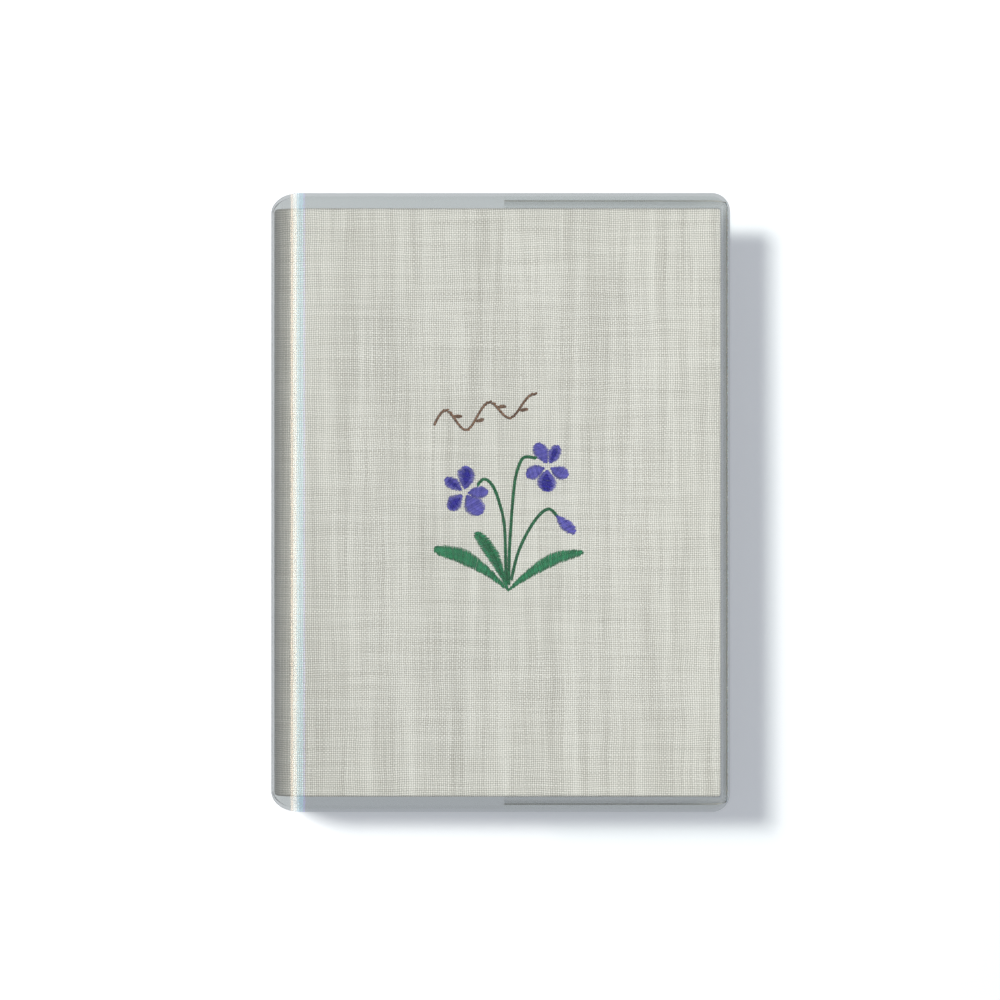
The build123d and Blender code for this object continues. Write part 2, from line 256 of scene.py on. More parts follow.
def makeWeaveGroup():
    # Plain weave: threads along both directions go over and under each other
    group, start, end = newGroup(
        "plainWeave",
        [
            ("Cloth Position", "NodeSocketVector", None),
            ("Threads per Metre", "NodeSocketFloat", 1900.0),
            ("Slub", "NodeSocketFloat", 0.5),
        ],
        [("Shade", "NodeSocketFloat"), ("Height", "NodeSocketFloat"), ("Tint", "NodeSocketFloat")],
    )
    scaled = addNode(
        group, "VectorMath", {0: start.outputs[0], 3: start.outputs[1]}, operation="SCALE"
    ).outputs[0]
    wobble = addNode(group, "TexNoise", {"Vector": scaled, "Scale": 0.045, "Detail": 3.0})
    shift = addNode(
        group, "VectorMath", {0: wobble.outputs["Color"], 1: (0.5, 0.5, 0.5)}, operation="SUBTRACT"
    )
    shift = addNode(group, "VectorMath", {0: shift.outputs[0], 3: 2.2}, operation="SCALE").outputs[0]
    thread = addNode(group, "VectorMath", {0: scaled, 1: shift}, operation="ADD").outputs[0]
    parts = addNode(group, "SeparateXYZ", {0: thread})
    u, v = parts.outputs[0], parts.outputs[1]
    uWave = calc(group, "SINE", calc(group, "MULTIPLY", u, math.pi))
    vWave = calc(group, "SINE", calc(group, "MULTIPLY", v, math.pi))
    over = calc(group, "MULTIPLY_ADD", calc(group, "MULTIPLY", uWave, vWave), 1.3, 0.5, clamp=True)
    uThread = calc(group, "POWER", calc(group, "ABSOLUTE", uWave), 1.1)
    vThread = calc(group, "POWER", calc(group, "ABSOLUTE", vWave), 1.1)
    under = calc(group, "SUBTRACT", 1.0, over)
    height = calc(
        group, "ADD", calc(group, "MULTIPLY", uThread, over), calc(group, "MULTIPLY", vThread, under)
    )
    # Slubs: each thread has its own thickness, which changes slowly along it
    uIndex = calc(group, "MULTIPLY", calc(group, "FLOOR", u), 1.73)
    vIndex = calc(group, "MULTIPLY", calc(group, "FLOOR", v), 1.73)
    uSlub = noiseValue(group, combine(group, uIndex, calc(group, "MULTIPLY", v, 0.022), 3.0), 1.0, 1.0)
    vSlub = noiseValue(group, combine(group, calc(group, "MULTIPLY", u, 0.022), vIndex, 9.0), 1.0, 1.0)
    streak = noiseValue(
        group, combine(group, calc(group, "MULTIPLY", u, 0.16), calc(group, "MULTIPLY", v, 0.006), 5.0),
        1.0, 1.5
    )
    slubs = calc(
        group, "ADD",
        calc(group, "MULTIPLY", calc(group, "SUBTRACT", uSlub, 0.5), calc(group, "MULTIPLY", over, 1.6)),
        calc(group, "MULTIPLY", calc(group, "SUBTRACT", vSlub, 0.5), calc(group, "MULTIPLY", under, 1.5)),
    )
    slubs = calc(group, "ADD", slubs, calc(group, "MULTIPLY", calc(group, "SUBTRACT", streak, 0.5), 0.9))
    slubs = calc(group, "MULTIPLY", slubs, start.outputs[2])
    # Shade and tone: darker where the threads dip into the gaps between them, which is painted shade, plus the
    # slubs' own tone
    shadeAndTone = calc(group, "ADD", calc(group, "MULTIPLY_ADD", height, 1.2, -0.18), slubs, clamp=True)
    fibre = noiseValue(group, scaled, 2.6, 3.0)
    tint = noiseValue(group, scaled, 0.02, 3.0)
    group.links.new(shadeAndTone, end.inputs[0])
    group.links.new(calc(group, "ADD", height, calc(group, "MULTIPLY", fibre, 0.35)), end.inputs[1])
    group.links.new(tint, end.inputs[2])
    return group


def makeFleckGroup():
    # Loose fibres and flecks, for felt, paper and board
    group, start, end = newGroup(
        "fibreFlecks",
        [
            ("Position", "NodeSocketVector", None),
            ("Fibre Scale", "NodeSocketFloat", 900.0),
            ("Cloud Scale", "NodeSocketFloat", 60.0),
        ],
        [("Fibre", "NodeSocketFloat"), ("Cloud", "NodeSocketFloat"), ("Fleck", "NodeSocketFloat")],
    )
    swirl = addNode(
        group, "TexNoise",
        {
            "Vector": start.outputs[0], "Scale": start.outputs[1],
            "Detail": 4.0, "Roughness": 0.62, "Distortion": 1.8,
        },
    ).outputs["Fac"]
    cloud = noiseValue(group, start.outputs[0], start.outputs[2], 3.0)
    cells = addNode(
        group, "TexVoronoi", {"Vector": start.outputs[0], "Scale": start.outputs[1]}
    ).outputs["Distance"]
    fleck = calc(group, "LESS_THAN", cells, 0.12)
    for index, value in enumerate((swirl, cloud, fleck)):
        group.links.new(value, end.inputs[index])
    return group


weaveGroup = makeWeaveGroup()
fleckGroup = makeFleckGroup()

# ---------- linen

linenSet = {
    "thickness": 0.38 * mm,
    "turnIn": 12 * mm,
    "edgeRound": 0.75 * mm,
    "cardThickness": 0.8 * mm,
    "threadsPerMetre": 1912,
    "slub": 0.55,
    "light": rgb(236, 230, 224),
    "dark": rgb(138, 131, 122),
    "warm": rgb(214, 206, 196),
}


def makeLinenMaterial():
    material, tree, shader = newMaterial(
        "linen", Roughness=0.92, Sheen_Weight=0.15, Sheen_Roughness=0.6, Specular_IOR_Level=0.2
    )
    weave = useGroup(tree, weaveGroup, {
        "Cloth Position": clothPosition(tree),
        "Threads per Metre": linenSet["threadsPerMetre"],
        "Slub": linenSet["slub"],
    })
    # Colour between dark and light by the weave: painted shade in the gaps between threads, and the slubs' own
    # tone
    base = mixColours(tree, weave.outputs["Shade"], linenSet["dark"], linenSet["light"])
    warmer = mixColours(tree, calc(tree, "MULTIPLY", weave.outputs["Tint"], 0.3), base, linenSet["warm"])
    tree.links.new(warmer, shader.inputs["Base Color"])
    bumpInto(tree, shader, weave.outputs["Height"], 0.05 * mm, 0.7)
    return material


def makeLinenWrapper():
    outer = linenHigh.z - midZ
    inner = boardLow.z - midZ - linenSet["thickness"]
    cardInner = boardHigh.z - midZ - linenSet["cardThickness"] - linenSet["thickness"]
    half = linenHigh.y
    fore = linenHigh.x
    bm = bmesh.new()

    def wrap(radius, flat, joinX):
        # One side of the section, from the back fore edge round the spine to the front
        first = bm.verts.new((spineX, -half, midZ - radius))
        turned = bmesh.ops.spin(
            bm, geom=[first], cent=(spineX, -half, midZ), axis=(0, 1, 0), dvec=(0, 0, 0),
            angle=math.pi, steps=48, use_merge=False, use_duplicate=False,
        )
        last = next(item for item in turned["geom_last"] if isinstance(item, bmesh.types.BMVert))
        ends = []
        for side, end in ((-1, first), (1, last)):
            for x, out in ((joinX, flat), (fore, flat)):
                point = bm.verts.new((x, -half, midZ + side * out))
                bm.edges.new((end, point))
                end = point
            ends.append(end)
        return ends

    outerEnds = wrap(outer, outer, spineX + 1 * mm)
    innerEnds = wrap(cardInner, inner, spineX + 2.4 * mm)
    for a, b in zip(outerEnds, innerEnds):
        bm.edges.new((a, b))
    bmesh.ops.contextual_create(bm, geom=bm.edges[:])
    swept = bmesh.ops.extrude_face_region(bm, geom=bm.faces[:])
    moved = [item for item in swept["geom"] if isinstance(item, bmesh.types.BMVert)]
    bmesh.ops.translate(bm, verts=moved, vec=(0, 2 * half, 0))
    bmesh.ops.recalc_face_normals(bm, faces=bm.faces[:])
    rims = [edge for edge in bm.edges if edge.calc_face_angle(0) > 1.2]
    bmesh.ops.bevel(
        bm, geom=rims, offset=linenSet["edgeRound"], offset_type="OFFSET", segments=4, profile=0.5,
        affect="EDGES", material=-1, clamp_overlap=True,
    )
    # The window that the lining covers
    windowX = fore - linenSet["turnIn"]
    windowY = half - linenSet["turnIn"]

    def isInside(face):
        centre = face.calc_center_median()
        away = Vector((min(centre.x - spineX, 0), 0, centre.z - midZ)).length
        return away < cardInner + 0.2 * mm and abs(face.normal.y) < 0.3

    for co, no in (
        ((windowX, 0, 0), (1, 0, 0)), ((0, windowY, 0), (0, 1, 0)), ((0, -windowY, 0), (0, 1, 0)),
    ):
        faces = [face for face in bm.faces if isInside(face)]
        geom = list({item for face in faces for item in [face, *face.edges, *face.verts]})
        bmesh.ops.bisect_plane(bm, geom=geom, dist=1e-6, plane_co=co, plane_no=no)
    window = [
        face for face in bm.faces
        if isInside(face)
        and face.calc_center_median().x < windowX
        and abs(face.calc_center_median().y) < windowY
    ]
    bmesh.ops.delete(bm, geom=window, context="FACES")
    # Cloth coordinates run round the spine, so the weave does too
    uvLayer = bm.loops.layers.uv.new("cloth")
    for face in bm.faces:
        for loop in face.loops:
            co = loop.vert.co
            u, v = co.x, co.y
            if co.x < spineX:
                turn = math.atan2(spineX - co.x, abs(co.z - midZ))
                u = spineX - turn * outer
            if co.z < midZ:
                u = 2 * (spineX - outer * math.pi / 2) - u
            if abs(face.normal.y) > 0.75:
                v = co.y + math.copysign(linenHigh.z - abs(co.z - midZ), co.y)
            elif face.normal.x > 0.75:
                u = u + (linenHigh.z - abs(co.z - midZ))
            loop[uvLayer].uv = (u, v)
    piece = addObject("linen_wrapper", bm, linenMaterial)
    return thicken(piece, linenSet["thickness"])


linenMaterial = makeLinenMaterial()
linenWrapper = makeLinenWrapper()
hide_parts("front_linen", "back_linen")
print("linen wrapper made")

# ---------- clear jacket

jacketSet = {
    "thickness": 0.3 * mm,
    "foreCorner": 4.3 * mm,
    "spineCorner": (7.0 * mm, 4.8 * mm),  # along the case's width and its height
    "weld": 1.7 * mm,
    "foreWeld": 0.6 * mm,
    "weldPress": 0.04 * mm,
    "weldGap": 0.02 * mm,
    "wave": 0.05 * mm,
    "tint": (0.958, 0.967, 0.951, 1.0),
    "flapTint": (0.988, 0.99, 0.986, 1.0),
    "ior": 1.45,
    "flapIor": 1.25,  # lower than the jacket's, so that the border stays even
    "roughness": 0.05,
    "shadowTint": (0.95, 0.965, 0.96, 1.0),
}


def makeVinylMaterial(name, tint, ior):
    material, tree, shader = newMaterial(
        name, Base_Color=tint, Transmission_Weight=1.0, IOR=ior, Roughness=jacketSet["roughness"]
    )
    ripple = noiseValue(tree, objectPosition(tree), 55.0, 1.0)
    bumpInto(tree, shader, ripple, 0.12 * mm, 0.35)
    # Lamps shine through the clear sheet
    clear = addNode(tree, "BsdfTransparent", {"Color": jacketSet["shadowTint"]})
    path = addNode(tree, "LightPath")
    through = addNode(
        tree, "MixShader", {0: path.outputs["Is Shadow Ray"], 1: shader.outputs[0], 2: clear.outputs[0]}
    )
    tree.links.new(through.outputs[0], tree.nodes["Material Output"].inputs["Surface"])
    return material


def roundedCorner(x, y):
    # Draws the square corners at the fore edge into round ones
    radius = jacketSet["foreCorner"]
    u = (x - (jacketHigh.x - radius)) / radius
    v = (abs(y) - (jacketHigh.y - radius)) / radius
    if u <= 0 or v <= 0:
        return x, y
    x = jacketHigh.x - radius + radius * u * math.sqrt(1 - v * v / 2)
    y = math.copysign(jacketHigh.y - radius + radius * v * math.sqrt(1 - u * u / 2), y)
    return x, y


def weldDepth(x, y):
    # How deep the pressed line lies that runs along the inside of the weld
    fromEnd = abs(abs(y) - (jacketHigh.y - jacketSet["weld"]))
    fromFore = abs(x - (jacketHigh.x - jacketSet["foreWeld"]))
    if abs(y) > jacketHigh.y - jacketSet["weld"]:
        fromFore = 1
    if x > jacketHigh.x - jacketSet["foreWeld"]:
        fromEnd = 1
    near = min(fromEnd, fromFore)
    along = smoothStep(flapLow.x - 1 * mm, flapLow.x + 1 * mm, x)
    return along * jacketSet["weldPress"] * (1 - smoothStep(0, 0.35 * mm, near))


def makeJacketSheet():
    radius = jacketHigh.z - midZ
    quarter = radius * math.pi / 2
    flat = jacketHigh.x - spineX
    weldLine = jacketHigh.y - jacketSet["weld"]
    foreLine = quarter + flat - jacketSet["foreWeld"]
    press = 0.35 * mm
    foreStops = [foreLine - press, foreLine, foreLine + press, quarter + flat - 0.3 * mm, quarter + flat]
    halfAlong = between([0, 2 * mm], 0.25 * mm) + between([2 * mm, quarter], 0.55 * mm)[1:]
    halfAlong += between([quarter, quarter + flat - jacketSet["foreCorner"]], 3 * mm)[1:]
    halfAlong += (
        between([quarter + flat - jacketSet["foreCorner"], foreStops[0]], 0.6 * mm)[1:] + foreStops[1:]
    )
    along = sorted({round(sign * s, 9) for s in halfAlong for sign in (-1, 1)})
    cornerY = jacketHigh.y - jacketSet["foreCorner"]
    halfAcross = (
        between([0, cornerY - 2 * mm], 5 * mm)
        + between([cornerY - 2 * mm, weldLine - press], 0.6 * mm)[1:]
    )
    halfAcross += between([weldLine - press, weldLine, weldLine + press], press / 2)[1:]
    halfAcross += between([weldLine + press, jacketHigh.y - 0.3 * mm, jacketHigh.y], 0.5 * mm)[1:]
    across = sorted({round(sign * y, 9) for y in halfAcross for sign in (-1, 1)})

    def place(s, y):
        side = math.copysign(1, s)
        if abs(s) < quarter:
            angle = abs(s) / radius
            # The ends of the spine are drawn in towards the middle
            x = spineX - radius * math.cos(angle)
            wide, tall = jacketSet["spineCorner"]
            drop = max(0, 1 - (x - (spineX - radius)) / wide)
            endY = jacketHigh.y - tall * (1 - math.sqrt(max(1 - drop * drop, 0)))
            y *= 1 - (1 - endY / jacketHigh.y) * (abs(y) / jacketHigh.y) ** 5
            return x, y, midZ + side * radius * math.sin(angle)
        x = spineX + abs(s) - quarter
        ripple = (0.5 + noise.noise(Vector((x, y, side)) * 28)) * jacketSet["wave"]
        ripple *= smoothStep(spineX, spineX + 8 * mm, x) * smoothStep(2 * mm, 8 * mm, jacketHigh.x - x)
        ripple *= smoothStep(4 * mm, 10 * mm, jacketHigh.y - abs(y))
        depth = weldDepth(x, y) + max(ripple, 0)
        x, y = roundedCorner(x, y)
        return x, y, midZ + side * (radius - depth)

    return shapedGrid("clear_jacket", along, across, place, vinylMaterial)


def flapSheet(name, side):
    # A pocket flap, welded at head, tail and fore edge, that steps down over the cover's edge
    low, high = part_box("front_jacket_flap")
    inside = low.z - midZ + jacketSet["thickness"]
    clearance = 0.2 * mm
    pocketFore = linenHigh.x + clearance
    pocketY = linenHigh.y + clearance
    weldFore = jacketHigh.x - jacketSet["foreWeld"]
    weldY = jacketHigh.y - jacketSet["weld"]
    xStops = [low.x, jacketHigh.x - 8 * mm, pocketFore, weldFore, jacketHigh.x]
    across = between([-jacketHigh.y, -weldY], 0.45 * mm) + between([-weldY, -pocketY], 0.2 * mm)[1:]
    across += between([-pocketY, -pocketY + 6 * mm], 1 * mm)[1:]
    across += between([-pocketY + 6 * mm, pocketY - 6 * mm], 6 * mm)[1:]
    across += between([pocketY - 6 * mm, pocketY], 1 * mm)[1:]
    across += between([pocketY, weldY], 0.2 * mm)[1:] + between([weldY, jacketHigh.y], 0.45 * mm)[1:]
    along = between(xStops[:2], 4 * mm) + between(xStops[1:3], 0.8 * mm)[1:]
    along += between(xStops[2:4], 0.12 * mm)[1:] + between(xStops[3:], 0.3 * mm)[1:]

    def place(x, y):
        drop = min(
            smoothStep(weldFore, pocketFore, x) if x > pocketFore else 1.0,
            smoothStep(weldY, pocketY, abs(y)) if abs(y) > pocketY else 1.0,
        )
        sag = 0.04 * mm * (1 + noise.noise(Vector((x * 30, y * 30, side)))) * drop
        top = jacketHigh.z - midZ - jacketSet["thickness"] - jacketSet["weldGap"] - weldDepth(x, y)
        x, y = roundedCorner(x, y)
        return x, y, midZ + side * (top + (inside - top) * drop + sag)

    piece = shapedGrid(name, along, across, place, flapMaterial)
    bm = bmesh.new()
    bm.from_mesh(piece.data)
    bmesh.ops.recalc_face_normals(bm, faces=bm.faces[:])
    if bm.faces[0].normal.z * side < 0:
        bmesh.ops.reverse_faces(bm, faces=bm.faces[:])
    bm.to_mesh(piece.data)
    bm.free()
    return thicken(piece, jacketSet["thickness"])


vinylMaterial = makeVinylMaterial("clear_vinyl", jacketSet["tint"], jacketSet["ior"])
flapMaterial = makeVinylMaterial("flap_vinyl", jacketSet["flapTint"], jacketSet["flapIor"])
clearJacket = makeJacketSheet()
faceOut = clearJacket.data.polygons[0]
if faceOut.normal.z * (faceOut.center.z - midZ) < 0:
    clearJacket.data.flip_normals()
thicken(clearJacket, jacketSet["thickness"])
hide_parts("front_jacket", "back_jacket")
for body, side in (("front_cover", 1), ("back_cover", -1)):
    flap = flapSheet(body.replace("cover", "pocket_flap"), side)
    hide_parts(body.replace("cover", "jacket_flap"))
    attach(flap, body)
print("clear jacket made")

# The wrapper and the jacket turn over a narrow strip in the middle of the spine
bendZone = 1.5 * mm
for piece in (linenWrapper, clearJacket):
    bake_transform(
        piece, "back_cover", "front_cover",
        start=(spineX, 0, midZ - bendZone), end=(spineX, 0, midZ + bendZone),
    )

# ---------- embroidery

flossSet = {
    "pitch": 0.27 * mm,
    "strand": 0.32 * mm,
    "thick": 0.2 * mm,
    "stemWidth": 0.78 * mm,
    "violet": (rgb(56, 48, 134), rgb(104, 96, 184)),
    "indigo": (rgb(6, 0, 92), rgb(34, 14, 150)),
    "leafGreen": (rgb(2, 82, 44), rgb(38, 132, 86)),
    "stemGreen": (rgb(0, 62, 30), rgb(22, 108, 64)),
    "brown": (rgb(84, 56, 38), rgb(134, 100, 78)),
}
sprig = {
    "base": (2.0, -21.0),
    "flowers": [
        {"heart": (-8.5, 2.4),
         "stem": [(1.4, -19.5), (1.1, -6.2), (-0.3, 0.4), (-1.9, 4.2), (-3.8, 5.6), (-5.4, 4.2)],
         "petals": [(84, 5.8, 4.3, 0.75), (143, 5.1, 3.0, 0.6), (0, 5.1, 3.2, 0), (226, 4.9, 3.7, 0.85),
                    (306, 6.0, 4.8, 0)]},
        {"heart": (11.4, 8.6),
         "stem": [(2.1, -19.5), (2.3, -10.5), (3.3, 3.0), (4.3, 8.2), (5.8, 10.8), (8.6, 10.6)],
         "petals": [(114, 5.6, 3.8, 0), (62, 5.1, 3.1, 0.6), (202, 5.0, 3.5, 0), (334, 4.8, 3.4, 0),
                    (266, 5.4, 4.9, 1.0)]},
    ],
    "bud": {"at": (13.4, -2.9), "angle": -46, "size": (6.5, 2.9),
            "stem": [(2.7, -18.4), (4.4, -11.8), (7.1, -6.2), (9.8, -2.6), (11.9, -1.6), (13.6, -3.2)]},
    "blades": [((-15.9, -11.3), 2.6, 3.7, 8), ((20.1, -11.9), -2.4, 3.7, 3)],  # tip, bow, width, blunt tip
    "youngBlade": ((-5.7, -6.9), -0.9, 3.3, 8),
}
scroll = {"start": (-15.8, 18.4), "run": 23.6, "rise": 5.4, "swing": 3.0, "waves": 2.25, "leaf": 2.5}


def makeFlossMaterial(name, colours):
    material, tree, shader = newMaterial(
        name, Roughness=0.5, Sheen_Weight=0.3, Sheen_Roughness=0.35, Specular_IOR_Level=0.45
    )
    tint = addNode(tree, "Attribute", attribute_name="strandTint").outputs["Fac"]
    strand = addNode(tree, "SeparateXYZ", {0: addNode(tree, "UVMap", uv_map="strand").outputs[0]})
    ply = calc(
        tree, "SINE",
        calc(tree, "ADD", calc(tree, "MULTIPLY", strand.outputs[0], 4200.0),
             calc(tree, "MULTIPLY", strand.outputs[1], 12.566)),
    )
    # Colour: painted shade in the grooves of the ply twist, and each strand's own tone from strandTint
    shadeAndTone = calc(tree, "MULTIPLY_ADD", ply, 0.16, calc(tree, "MULTIPLY_ADD", tint, 0.7, 0.15), clamp=True)
    tree.links.new(mixColours(tree, shadeAndTone, *colours), shader.inputs["Base Color"])
    bumpInto(tree, shader, ply, 0.02 * mm, 0.6)
    return material


def makeStrandTemplate():
    # A unit strand along X, six-sided, with rings along it
    bm = bmesh.new()
    uvLayer = bm.loops.layers.uv.new("strand")
    bm.verts.layers.float.new("strandTint")
    turn = Matrix.Rotation(math.pi / 2, 4, "Y") @ Matrix.Translation((0, 0, 0.5))
    bmesh.ops.create_cone(
        bm, cap_ends=True, cap_tris=False, segments=6, radius1=1, radius2=1, depth=1, matrix=turn
    )
    longEdges = [edge for edge in bm.edges if abs(edge.verts[0].co.x - edge.verts[1].co.x) > 0.5]
    bmesh.ops.subdivide_edges(bm, edges=longEdges, cuts=4, use_grid_fill=True)
    for face in bm.faces:
        middle = face.calc_center_median()
        for loop in face.loops:
            round_ = math.atan2(loop.vert.co.z, loop.vert.co.y) / (2 * math.pi)
            if round_ < 0 and middle.z > 0 or round_ < -0.4:
                round_ += 1
            loop[uvLayer].uv = (loop.vert.co.x, round_)
    mesh = bpy.data.meshes.new("strandTemplate")
    bm.to_mesh(mesh)
    bm.free()
    return mesh


def newStitchMesh():
    bm = bmesh.new()
    bm.loops.layers.uv.new("strand")
    bm.verts.layers.float.new("strandTint")
    return bm


def layStitch(bm, start, end, width, crown=0.16, thick=None):
    # One strand over the cloth from start to end, in millimetres, crowned in the middle
    thick = thick or flossSet["thick"]
    a, b = Vector((*start, 0)) * mm, Vector((*end, 0)) * mm
    length = (b - a).length
    if length < 0.05 * mm:
        return
    side = (b - a).normalized().cross(Vector((0, 0, 1)))
    tint = random.random()
    vertCount, faceCount = len(bm.verts), len(bm.faces)
    bm.from_mesh(strandTemplate)
    tintLayer = bm.verts.layers.float["strandTint"]
    uvLayer = bm.loops.layers.uv["strand"]
    for vert in bm.verts[vertCount:]:
        t, across, up = vert.co
        lift = max(math.sin(math.pi * t), 0) ** 0.55
        slim = 0.55 + 0.45 * lift
        centre = a.lerp(b, t) + Vector((0, 0, linenHigh.z + (crown * lift - 0.12) * mm + thick * 0.5))
        vert.co = centre + side * (across * width / 2 * slim) + Vector((0, 0, up * thick / 2 * slim))
        vert[tintLayer] = tint
    for face in bm.faces[faceCount:]:
        for loop in face.loops:
            loop[uvLayer].uv.x *= length


def pathPoint(points, t):
    # A smooth path through the points, t from 0 to 1
    count = len(points) - 1
    index = min(int(t * count), count - 1)
    f = t * count - index
    p = [Vector(points[min(max(index + n, 0), count)]) for n in (-1, 0, 1, 2)]
    return 0.5 * (
        2 * p[1] + (p[2] - p[0]) * f + (2 * p[0] - 5 * p[1] + 4 * p[2] - p[3]) * f * f
        + (3 * p[1] - p[0] - 3 * p[2] + p[3]) * f ** 3
    )


def evenly(points, pitch):
    # Points a stitch apart along a path, each with the path's direction
    dense = [pathPoint(points, n / 400) for n in range(401)]
    lengths = [0.0]
    for a, b in zip(dense, dense[1:]):
        lengths.append(lengths[-1] + (b - a).length)
    count = max(2, round(lengths[-1] / pitch))
    placed, index = [], 0
    for n in range(count + 1):
        target = lengths[-1] * n / count
        while index < 399 and lengths[index + 1] < target:
            index += 1
        part = (target - lengths[index]) / max(lengths[index + 1] - lengths[index], 1e-9)
        point = dense[index].lerp(dense[index + 1], min(part, 1))
        placed.append((n / count, point, (dense[index + 1] - dense[index]).normalized()))
    return placed


def satin(bm, points, halfWidth, slant=0.25, crown=0.16, ragged=0.15):
    # Fills a shape with strands laid across its middle line
    for t, point, along in evenly(points, flossSet["pitch"] / mm):
        half = halfWidth(t)
        if half < 0.1:
            continue
        across = Vector((-along.y, along.x))
        lean = along * (slant * half)
        first = point - across * (half + random.uniform(-ragged, ragged)) - lean
        second = point + across * (half + random.uniform(-ragged, ragged)) + lean
        layStitch(bm, first, second, flossSet["strand"] * random.uniform(0.9, 1.15), crown)


def petalWidth(width):
    return lambda t: width / 2 * max(math.sin(math.pi * t ** 1.35), 0) ** 0.62


def bladeWidth(width, blunt):
    return lambda t: width / 2 * min(1, 0.12 + 1.45 * t) * math.sqrt(max(1 - t ** blunt, 0))


def petalPath(heart, angle, length, startAt=0.7):
    direction = Vector((math.cos(math.radians(angle)), math.sin(math.radians(angle))))
    return [Vector(heart) + direction * (startAt + length * t) for t in (0, 0.5, 1)]


def bladePath(tip, bow):
    base, tip = Vector(sprig["base"]), Vector(tip)
    normal = Vector((-(tip - base).y, (tip - base).x)).normalized()
    return [
        base, base.lerp(tip, 0.3) + normal * bow * 0.55, base.lerp(tip, 0.65) + normal * bow * 0.75, tip,
    ]


def embroiderViolet():
    bm = newStitchMesh()
    for flower in sprig["flowers"]:
        for angle, length, width, _ in flower["petals"]:
            satin(bm, petalPath(flower["heart"], angle, length), petalWidth(width), slant=0.12)
    bud = sprig["bud"]
    length, width = bud["size"]
    satin(bm, petalPath(bud["at"], bud["angle"], length, 0), petalWidth(width), slant=0.3)
    return bm


def embroiderIndigo():
    bm = newStitchMesh()
    for flower in sprig["flowers"]:
        for angle, length, width, share in flower["petals"]:
            if share:
                inner = petalPath(
                    flower["heart"], angle, length * (0.55 + 0.25 * share), 0.7 + 0.16 * length
                )
                satin(
                    bm, inner, petalWidth(width * (0.4 + 0.35 * share)),
                    slant=0.12, crown=0.27, ragged=0.22,
                )
    return bm


def embroiderLeaves():
    bm = newStitchMesh()
    for tip, bow, width, blunt in sprig["blades"]:
        satin(bm, bladePath(tip, -bow), bladeWidth(width, blunt), slant=-0.35 if bow > 0 else 0.35)
    tip, bow, width, blunt = sprig["youngBlade"]
    satin(bm, bladePath(tip, bow), bladeWidth(width, blunt), slant=0.4)
    return bm


def embroiderStem(points):
    bm = newStitchMesh()
    half = flossSet["stemWidth"] / mm / 2
    for t, point, along in evenly(points, flossSet["pitch"] / mm * 0.95):
        across = Vector((-along.y, along.x))
        reach = half * random.uniform(0.92, 1.1)
        layStitch(bm, point - across * reach - along * 0.25, point + across * reach + along * 0.25,
                  flossSet["strand"], 0.1)
    return bm


def embroiderYoungVein(bm):
    tip, bow, width, blunt = sprig["youngBlade"]
    path = bladePath(tip, bow)
    inner = [path[0].lerp(path[1], 0.5), path[1], path[2], path[2].lerp(path[3], 0.8)]
    satin(bm, inner, bladeWidth(width * 0.62, blunt), slant=0.4, crown=0.27, ragged=0.2)


def embroiderScroll():
    bm = newStitchMesh()

    def curve(t):
        x = scroll["start"][0] + scroll["run"] * t
        wave = math.sin(2 * math.pi * scroll["waves"] * t) * scroll["swing"] * (1 - 0.35 * t)
        return Vector((x, scroll["start"][1] + scroll["rise"] * t + wave))

    points = [curve(n / 40) for n in range(41)]
    for t, point, along in evenly(points, 0.85):
        ahead = point + along * 1.25
        drift = Vector((-along.y, along.x)) * 0.1
        layStitch(bm, point - drift, ahead + drift, 0.62 * mm, 0.12, 0.3 * mm)
    # Pairs of small straight leaves at the crests
    for n in range(1, 2 * int(scroll["waves"] * 2) + 1):
        t = (n - 0.5) / (scroll["waves"] * 4) + 0.02
        if n % 2 or t > 0.97:
            continue
        point, ahead = curve(t), curve(t + 0.01)
        along = (ahead - point).normalized()
        across = Vector((-along.y, along.x)) * (1 if n % 4 else -1)
        tip = point + (along * 0.75 + across * 0.8).normalized() * scroll["leaf"]
        satin(bm, [point, point.lerp(tip, 0.5), tip], petalWidth(1.0), slant=0.3, crown=0.1, ragged=0.04)
    return bm


strandTemplate = makeStrandTemplate()
flossMaterials = {
    name: makeFlossMaterial(name + "_floss", flossSet[name])
    for name in ("violet", "indigo", "leafGreen", "stemGreen", "brown")
}
stemBms = [embroiderStem(flower["stem"]) for flower in sprig["flowers"]]
embroiderYoungVein(stemBms[0])
stitchPieces = [
    ("violet_petals", embroiderViolet(), "violet", "violet_stitches", "violet_floss"),
    ("indigo_hearts", embroiderIndigo(), "indigo", "indigo_stitches", "indigo_floss"),
    ("sprig_leaves", embroiderLeaves(), "leafGreen", "leaf_stitches", "leaf_green_floss"),
    ("left_stem", stemBms[0], "stemGreen", "left_stem_stitches", "stem_green_floss"),
    ("middle_stem", stemBms[1], "stemGreen", "middle_stem_stitches", "stem_green_floss"),
    (
        "right_stem", embroiderStem(sprig["bud"]["stem"]),
        "stemGreen", "right_stem_stitches", "stem_green_floss",
    ),
    ("scroll_vine", embroiderScroll(), "brown", "scroll_stitches", "brown_floss"),
]
for name, bm, colour, node, slot in stitchPieces:
    piece = addObject(name, bm, flossMaterials[colour])
    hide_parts(node)
    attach(piece, "front_cover")
bpy.data.meshes.remove(strandTemplate)
print("embroidery made")

# ---------- felt leaves

feltSet = {
    "tooth": 4.0 * mm,
    "toothDepth": 1.6 * mm,
    "light": rgb(233, 226, 209),
    "dark": rgb(198, 188, 166),
    "nap": 0.05 * mm,
}


